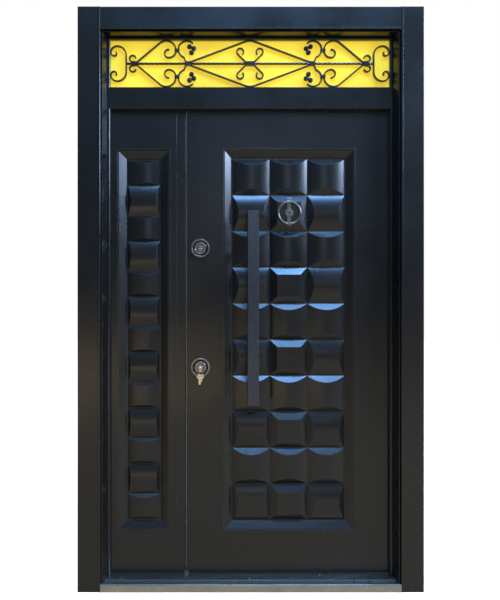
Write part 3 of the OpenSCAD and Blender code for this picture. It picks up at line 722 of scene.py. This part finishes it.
@dataclass
class LockDress:
    """What shows on the two roses: screws, a plug whose keyway is a near-black block of painted shade,
    polished rims, and a near-black ring of painted shade in each rose's gap.
    """

    screw_reach: float = 19 * MM
    screw_r: float = 3.5 * MM
    plug_r: float = 7.0 * MM
    rim_r: float = 1.1 * MM
    shade_ring_depth: float = 2.0 * MM
    cylinder_r: float = 8.5 * MM
    plug_proud: float = 1.2 * MM
    keyway_w: float = 1.6 * MM
    inner_share: float = 0.62

    def build(self, tree: bpy.types.NodeTree) -> None:
        """Adds the pieces to the active leaf.

        Args:
            tree: the screw tree.

        Returns:
            None.
        """
        points = []
        rims = bmesh.new()
        gap_shade = bmesh.new()
        for node in ("upper_rose", "lower_rose"):
            middle = centre(node)
            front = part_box(node)[0][1]
            radius = (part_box(node)[1][0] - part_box(node)[0][0]) / 2
            points += [(middle.x + side * self.screw_reach, front + 6 * MM, middle.z)
                       for side in (-1, 1)]
            lathe(rims, (middle.x, front + 3 * MM, middle.z), (0, -1, 0),
                  round_profile((radius * self.inner_share - self.rim_r, 0.0), self.rim_r), 72, closed=True)
            lathe(rims, (middle.x, front + 2.0 * MM, middle.z), (0, -1, 0),
                  round_profile((radius - 6 * MM, 0.0), 2.0 * MM), 96, closed=True)
            # a near-black ring in the gap between each rose's disc and outer ring: painted shade for the
            # recess
            lathe(gap_shade, (middle.x, front + 8 * MM, middle.z), (0, -1, 0),
                  [(radius * self.inner_share + 0.3 * MM, 0.1 * MM), (radius - 9.3 * MM, 0.1 * MM),
                   (radius - 9.3 * MM, self.shade_ring_depth), (radius * self.inner_share + 0.3 * MM, self.shade_ring_depth)],
                  72, closed=True)
        grow("rose_screws", points, tree, Finish.NICKEL, "active_leaf", Head_radius=self.screw_r,
             Head_height=2.2 * MM, Facing=OUT, Seed=3)
        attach(new_object("rose_rims", clean(rims, "rose_rims"), Finish.NICKEL), "active_leaf")
        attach(new_object("rose_gap_shade", clean(gap_shade, "rose_gap_shade"), Finish.DARK), "active_leaf")
        self.plug()

    def plug(self) -> None:
        """Adds the free cylinder's plug, with its keyway as a near-black block of painted shade.

        Args:
            None.

        Returns:
            None.
        """
        low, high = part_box("upper_cylinder")
        middle = centre("upper_cylinder").x
        top = high[2] - self.cylinder_r
        plug = bmesh.new()
        lathe(plug, (middle, low[1] + 0.2 * MM, top), (0, -1, 0),
              [(0.0, 0.0), (self.plug_r, 0.0), (self.plug_r, 0.8 * MM),
               (self.plug_r - 0.6 * MM, self.plug_proud), (0.0, self.plug_proud)])
        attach(new_object("cylinder_plug", clean(plug, "cylinder_plug"), Finish.NICKEL), "active_leaf")
        # the keyway is a thin near-black block at the plug's face: painted shade for the slot's dark inside
        slit = bmesh.new()
        half_w = self.keyway_w / 2
        block(slit, (middle - half_w, low[1] - self.plug_proud, top - 5 * MM),
              (middle + half_w, low[1] - 0.9 * MM, top + 4 * MM), 0.1 * MM)
        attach(new_object("keyway_shade", clean(slit, "keyway_shade"), Finish.DARK, False), "active_leaf")


@dataclass
class KnockerDress:
    """The viewer's lens and trim, a screw in the knocker's base, and the bands on the knocker's ring."""

    lens_r: float = 5.0 * MM
    trim_r: float = 1.2 * MM

    def build(self, tree: bpy.types.NodeTree) -> None:
        """Adds the pieces.

        Args:
            tree: the screw tree.

        Returns:
            None.
        """
        low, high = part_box("viewer")
        middle = centre("viewer")
        trim = bmesh.new()
        lathe(trim, (middle.x, low[1], middle.z), (0, -1, 0),
              round_profile((self.lens_r + 2.4 * MM, 0.0), self.trim_r), 48, closed=True)
        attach(new_object("viewer_trim", clean(trim, "viewer_trim"), Finish.NICKEL), "active_leaf")
        # the lens is near-black: painted shade for the dark inside the viewer
        lens = bmesh.new()
        lathe(lens, (middle.x, low[1] + 0.3 * MM, middle.z), (0, -1, 0),
              [(self.lens_r, 0.0), (self.lens_r * 0.9, 0.9 * MM), (self.lens_r * 0.6, 1.7 * MM),
               (0.0, 2.2 * MM)], 32)
        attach(new_object("viewer_lens", clean(lens, "viewer_lens"), Finish.DARK), "active_leaf")
        base_low, base_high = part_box("knocker_base")
        grow("knocker_screws", [(middle.x, base_high[1] - 5 * MM, base_low[2] + 4 * MM)], tree,
             Finish.SATIN, "active_leaf", Head_radius=2.6 * MM, Head_height=1.6 * MM, Facing=OUT, Seed=8)
        ring_low, ring_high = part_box("knocker_ring")
        ring = bmesh.new()
        x = (ring_low[0] + ring_high[0]) / 2
        y = (ring_low[1] + ring_high[1]) / 2
        radius = (ring_high[0] - ring_low[0]) / 2
        for side in (-1, 1):
            for turn in (0.35, 0.75):
                angle = math.pi / 2 + side * turn
                spot = Vector((x + (radius - 5 * MM) * math.cos(angle), y,
                               middle.z + (radius - 5 * MM) * math.sin(angle)))
                along = Vector((-math.sin(angle), 0, math.cos(angle)))
                lathe(ring, spot, along, round_profile((4.9 * MM, 0.0), 0.9 * MM, 10), 32, closed=True)
        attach(new_object("ring_bands", clean(ring, "ring_bands"), Finish.SATIN), "knocker_ring")


@dataclass
class HangingKeys:
    """Two spare keys on the ring, in place of their plain stand-ins."""

    bow_r: float = 10.5 * MM
    hole_r: float = 3.6 * MM
    thick: float = 1.8 * MM
    blade_w: float = 8.0 * MM
    offsets: tuple = ((-5.0, 26.0, -0.06, 0.0), (6.0, 14.0, 0.07, 2.4))

    def build(self) -> None:
        """Replaces the plain keys.

        Returns:
            None.
        """
        low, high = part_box("spare_keys")
        x = (low[0] + high[0]) / 2
        y = (low[1] + high[1]) / 2
        bm = bmesh.new()
        for shift, blade, lean, step in self.offsets:
            start_at = len(bm.verts)
            hang = Vector((x, y + step * MM, high[2] - 6 * MM))
            lathe(bm, hang + Vector((0, 0, -self.bow_r + self.hole_r)), (0, -1, 0),
                  [(self.hole_r, 0.0), (self.bow_r, 0.0), (self.bow_r, self.thick),
                   (self.hole_r, self.thick)], 40, closed=True)
            foot = hang.z - 2 * self.bow_r + self.hole_r + 1.5 * MM
            block(bm, (x - self.blade_w / 2, hang.y - self.thick, foot - blade * MM),
                  (x + self.blade_w / 2, hang.y, foot), 0.5 * MM)
            bm.verts.ensure_lookup_table()
            turn = Matrix.Rotation(lean, 4, "Y")
            for vert in bm.verts[start_at:]:
                vert.co = turn @ (vert.co - hang) + hang + Vector((shift * MM, 0, 0))
        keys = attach(new_object("hanging_keys", clean(bm, "hanging_keys"), Finish.BRASS, False),
                       "active_leaf")
        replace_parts(keys, "spare_keys")


@dataclass
class SealAndScrews:
    """The rubber fin at the meeting edge, and the screws of the threshold and inner plate."""

    fin_gap: float = 0.3 * MM
    screw_pitch: float = 188 * MM
    screw_start: float = -569 * MM
    screws: int = 7

    def build(self, tree: bpy.types.NodeTree) -> None:
        """Adds the pieces.

        Args:
            tree: the screw tree.

        Returns:
            None.
        """
        sheet_low, sheet_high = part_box("active_outer_sheet")
        strip_low, strip_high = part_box("meeting_strip")
        fin = bmesh.new()
        block(fin, (strip_high[0] - 0.5 * MM, strip_low[1] + 1.5 * MM, strip_low[2] - 14 * MM),
              (sheet_low[0] - self.fin_gap, strip_low[1] + 3.0 * MM, strip_high[2] - 1 * MM), 0.3 * MM)
        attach(new_object("meeting_fin", clean(fin, "meeting_fin"), Finish.RUBBER, False), "narrow_leaf")
        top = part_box("threshold")[1][2]
        row = [(self.screw_start + i * self.screw_pitch, 25 * MM, top) for i in range(self.screws)]
        grow("threshold_screws", row, tree, Finish.NICKEL, "frame", Head_radius=4.4 * MM,
             Head_height=1.6 * MM, Facing=UP, Seed=5)
        low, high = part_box("inner_lock_plate")
        x = (low[0] + high[0]) / 2
        plate = [(x, high[1], z) for z in (low[2] + 12 * MM, low[2] + 168 * MM)]
        grow("plate_screws", plate, tree, Finish.NICKEL, "active_leaf", Head_radius=4 * MM,
             Head_height=1.8 * MM, Facing=IN, Seed=2)


@dataclass
class Berries:
    """The berry clusters of the grille, in place of their plain stand-ins."""

    radius: float = 9.2 * MM
    grain: float = 2.5 * MM
    spots: list = field(default_factory=lambda: [(267, 74), (248, 66), (258, 48)])

    def build(self, tree: bpy.types.NodeTree) -> bpy.types.Object:
        """Builds the clusters that take the plain ones' place.

        Args:
            tree: the berry tree.

        Returns:
            The finished clusters.
        """
        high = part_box("grille_clusters")[1]
        middle = centre("grille_clusters")
        points = [(sx * x * MM, high[1] - self.radius - self.grain, middle.z + sz * z * MM)
                  for x, z in self.spots for sx in (-1, 1) for sz in (-1, 1)]
        return grow("berry_clusters", points, tree, Finish.IRON, "frame", Berry_radius=self.radius,
                   Grain_radius=self.grain, Detail=2)


# ---- camera, light and stage ---------------------------------------------------------


@dataclass(frozen=True)
class Shot:
    """The camera, square to the door."""

    x: float = -0.180
    z: float = 1.400
    distance: float = 2.500
    lens: float = 34.67
    shift_x: float = 0.068
    shift_y: float = -0.052
    front: float = -0.012

    def build(self) -> None:
        """Makes the camera.

        Returns:
            None.
        """
        data = bpy.data.cameras.new("main")
        data.lens = self.lens
        data.shift_x = self.shift_x
        data.shift_y = self.shift_y
        data.sensor_width = 36
        data.clip_end = 60
        cam = bpy.data.objects.new("main", data)
        cam.location = (self.x, self.front - self.distance, self.z)
        cam.rotation_euler = (math.pi / 2, 0, 0)
        bpy.context.scene.collection.objects.link(cam)
        bpy.context.scene.camera = cam


@dataclass(frozen=True)
class Lamp:
    """One area lamp."""

    name: str
    place: tuple
    aim: tuple
    size: tuple
    power: float
    colour: str

    def build(self) -> None:
        """Makes the lamp.

        Returns:
            None.
        """
        data = bpy.data.lights.new(self.name, "AREA")
        data.shape = "RECTANGLE"
        data.size, data.size_y = self.size
        data.energy = self.power
        data.color = linear(self.colour)[:3]
        obj = bpy.data.objects.new(self.name, data)
        obj.location = self.place
        turn = (Vector(self.aim) - Vector(self.place)).to_track_quat("-Z", "Y")
        obj.rotation_euler = turn.to_euler()
        bpy.context.scene.collection.objects.link(obj)


LAMPS = (
    Lamp("sky", (4.2, -1.7, 3.3), (0.0, 0.0, 1.4), (1.4, 1.4), 340, "B4CFF5"),
    Lamp("overhead", (0.6, -1.5, 4.3), (0.2, 0.0, 1.2), (2.4, 0.6), 170, "7FB8FF"),
    Lamp("front", (0.6, -6.0, 2.4), (0.0, 0.0, 1.2), (1.6, 1.6), 8, "E4E9F2"),
    Lamp("ground", (-1.2, -3.2, 0.35), (0.0, 0.0, 0.5), (3.0, 0.7), 7, "E8CFA8"),
)


def stage_material(name: str, colour: str) -> bpy.types.Material:
    """Makes a pale matt finish with a faint grain, for floor and backdrop. It glows white to the camera and
    warm in glossy rays, a painted reflection.

    Args:
        name: the material's name.
        colour: its sRGB hex colour.

    Returns:
        The material.
    """
    mat, g, bsdf = start(name)
    place = g.add("ShaderNodeTexCoord").outputs["Object"]
    grain = g.add("ShaderNodeTexNoise", Vector=place, Scale=14.0, Detail=4.0)
    tone = g.mix(g.band(grain.outputs["Fac"], 0.3, 0.7, 0.0, 0.2), linear(colour), (1, 1, 1, 1))
    seen = g.add("ShaderNodeLightPath").outputs["Is Camera Ray"]
    g.tree.links.new(g.mix(seen, linear("8C7C64"), tone), bsdf.inputs["Base Color"])
    # the floor glows white to the camera, for an evenly bright floor, and warm in glossy rays: a painted
    # reflection in the door's finishes
    shiny = g.add("ShaderNodeLightPath").outputs["Is Glossy Ray"]
    glow = g.math("ADD", g.math("MULTIPLY", seen, 0.9), g.math("MULTIPLY", shiny, 0.42))
    g.tree.links.new(glow, bsdf.inputs["Emission Strength"])
    g.tree.links.new(g.mix(seen, linear("E3CDA6"), (1.0, 1.0, 1.0, 1.0)), bsdf.inputs["Emission Color"])
    bsdf.inputs["Roughness"].default_value = 0.9
    return mat


def build_stage() -> None:
    """Makes the floor and the pale world that the camera sees.

    Returns:
        None.
    """
    bm = bmesh.new()
    corners = [(-9, -9), (9, -9), (9, 9), (-9, 9)]
    bm.faces.new([bm.verts.new((x, y, 0.0)) for x, y in corners])
    mesh = bpy.data.meshes.new("floor")
    bm.to_mesh(mesh)
    bm.free()
    floor = bpy.data.objects.new("floor", mesh)
    mesh.materials.append(stage_material("floor", "F6F6F6"))
    bpy.context.scene.collection.objects.link(floor)
    floor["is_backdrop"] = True
    world = bpy.data.worlds.new("open_air")
    world.use_nodes = True
    g = Graph(world.node_tree)
    background = world.node_tree.nodes["Background"]
    path = g.add("ShaderNodeLightPath")
    position = g.add("ShaderNodeTexCoord").outputs["Generated"]
    height = g.add("ShaderNodeSeparateXYZ", Vector=position).outputs["Z"]
    sky = g.mix(g.band(height, -0.2, 0.6), linear("2E2E30"), linear("75889F"))
    seen = g.mix(path.outputs["Is Camera Ray"], sky, (1.0, 1.0, 1.0, 1.0))
    world.node_tree.links.new(seen, background.inputs["Color"])
    background.inputs["Strength"].default_value = 1.0
    bpy.context.scene.world = world


def main() -> None:
    """Builds the looks around the loaded construction and logs every piece that shows.

    Args:
        None.

    Returns:
        None.
    """
    logging.basicConfig(level=logging.INFO, format="%(message)s")
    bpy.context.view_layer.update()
    bpy.context.scene.view_settings.view_transform = "Standard"
    paint_construction()
    screws = screw_tree()
    LockDress().build(screws)
    KnockerDress().build(screws)
    SealAndScrews().build(screws)
    HangingKeys().build()
    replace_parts(Berries().build(berry_tree()), "grille_clusters")
    Shot().build()
    for lamp in LAMPS:
        lamp.build()
    build_stage()
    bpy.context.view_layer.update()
    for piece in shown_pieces():
        log.info("%s: %d faces", piece.name, len(piece.data.polygons))


if __name__ == "__main__":
    main()
